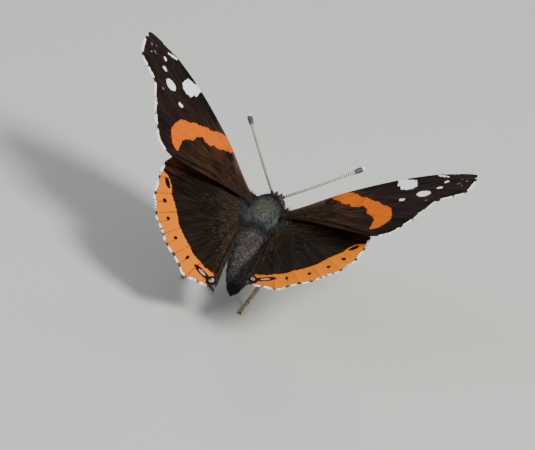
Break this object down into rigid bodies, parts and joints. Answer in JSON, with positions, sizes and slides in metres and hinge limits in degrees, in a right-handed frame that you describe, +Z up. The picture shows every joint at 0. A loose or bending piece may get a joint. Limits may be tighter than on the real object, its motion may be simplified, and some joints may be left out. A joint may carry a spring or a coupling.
{
  "type": "red admiral butterfly",
  "caption": "Life-size still model of a red admiral butterfly standing with its wings half open in a V, upper sides showing orange-red bands and white tips.",
  "frame": {"origin": "on the floor, under the middle of the whole insect's bounding box", "axes": "+Z up from the floor it stands on, -Y towards the head, +X towards the insect's own left wing tip"},
  "size_m": [0.0518, 0.0386, 0.0302],
  "materials": {
    "wings": "fine dull scales over a thin membrane",
    "fur": "short soft hair",
    "eyes": "glossy with fine facets",
    "limbs": "smooth horn-like cuticle with close scales"
  },
  "bodies": {
    "root": {"thorax": "fur", "abdomen": "fur", "head": "fur", "eye_left": "eyes", "eye_right": "eyes", "palp_left": "fur", "palp_right": "fur", "antenna_left": "limbs", "antenna_right": "limbs", "proboscis": "limbs", "forewing_left": "wings", "forewing_right": "wings", "hindwing_left": "wings", "hindwing_right": "wings", "midleg_left": "limbs", "midleg_right": "limbs", "hindleg_left": "limbs", "hindleg_right": "limbs", "foreleg_left": "limbs", "foreleg_right": "limbs"}
  },
  "joints": []
}
